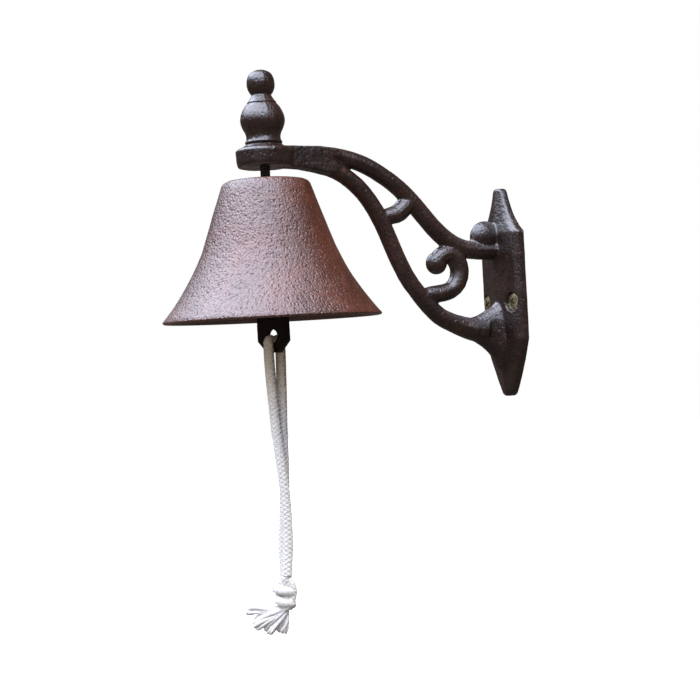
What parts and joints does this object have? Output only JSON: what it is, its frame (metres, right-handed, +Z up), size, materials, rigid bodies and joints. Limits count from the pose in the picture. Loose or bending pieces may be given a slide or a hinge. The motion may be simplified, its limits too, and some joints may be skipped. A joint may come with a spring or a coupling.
{
  "type": "wall mounted bell",
  "caption": "Cast-iron flared bell on a scrolled wall bracket with a turned finial, a swinging clapper and a cotton pull rope.",
  "frame": {"origin": "on the wall plate's flat rear face, midway between its sides, 56 mm below its top and 57.5 mm above its lowest point", "axes": "+Y into the wall, out of the plate's rear face; the bell hangs at -Y; +Z up; +X to the right seen from the room"},
  "size_m": [0.111, 0.1955, 0.2901],
  "materials": {
    "bracket_iron": "antique dark brown-black paint on sand-cast iron, satin",
    "bell_iron": "rust-brown antique paint on sand-cast iron, satin",
    "clapper_iron": "black cast iron",
    "hardware_steel": "blackened steel",
    "screw_brass": "yellow zinc or brass plate",
    "rope_cotton": "off-white braided cotton"
  },
  "bodies": {
    "bracket": {"wall_bracket": "bracket_iron", "finial_nut": "bracket_iron", "hanger_eye_bolt": "hardware_steel", "crown_washer": "hardware_steel", "crown_nut": "hardware_steel", "lock_nut": "hardware_steel", "wall_screw_left": "screw_brass", "wall_screw_right": "screw_brass"},
    "bell": {"bell": "bell_iron"},
    "link": {"clapper_link": "hardware_steel"},
    "clapper": {"clapper": "clapper_iron"},
    "rope": {"rope_bight": "rope_cotton", "rope_strand_front": "rope_cotton", "rope_strand_back": "rope_cotton", "rope_knot": "rope_cotton", "rope_tassel": "rope_cotton"}
  },
  "joints": [
    {"name": "bell_turn", "type": "hinge", "parent": "bracket", "child": "bell", "pos_m": [0, -0.14, 0.06], "axis": [0, 0, 1], "continuous": true},
    {"name": "link_swing", "type": "hinge", "parent": "bracket", "child": "link", "pos_m": [0, -0.14, 0.0351], "axis": [0.8746, 0.4848, 0], "range_deg": [-12, 12]},
    {"name": "clapper_swing", "type": "hinge", "parent": "link", "child": "clapper", "pos_m": [0, -0.14, 0.027], "axis": [0.4848, -0.8746, 0], "range_deg": [-42, 42]},
    {"name": "rope_swing", "type": "hinge", "parent": "clapper", "child": "rope", "pos_m": [0, -0.14, -0.01905], "axis": [-0.4848, 0.8746, 0], "range_deg": [-20, 20]}
  ]
}
